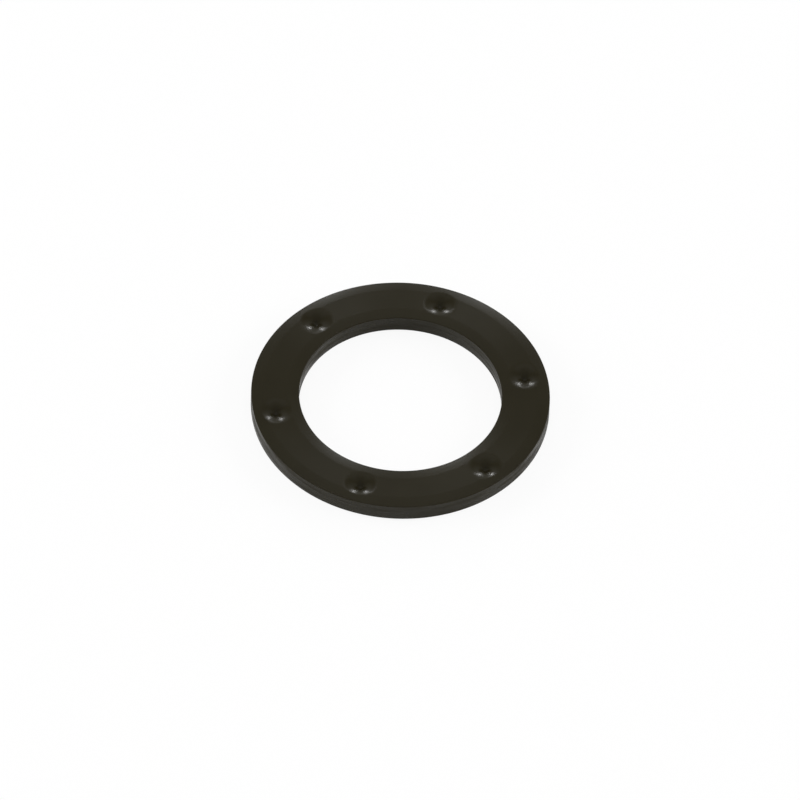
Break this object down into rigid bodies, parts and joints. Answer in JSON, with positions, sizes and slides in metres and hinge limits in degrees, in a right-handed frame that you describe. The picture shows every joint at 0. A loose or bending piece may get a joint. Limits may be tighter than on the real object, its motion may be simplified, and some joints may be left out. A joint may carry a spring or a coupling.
{
  "type": "sealing ring",
  "caption": "Flat moulded rubber sealing ring with a plain bore, faces that slope away softly to crisp edges, and a circle of round dimples in the upper face.",
  "frame": {"origin": "on the bore's axis, in the plane of the lower face that the ring lies on", "axes": "+Z along the bore's axis towards the dimpled face, +X through the middle of one dimple"},
  "size_m": [0.028, 0.028, 0.002],
  "materials": {
    "black_rubber": "smooth moulded, satin"
  },
  "bodies": {
    "root": {"sealing_ring": "black_rubber"}
  },
  "joints": []
}
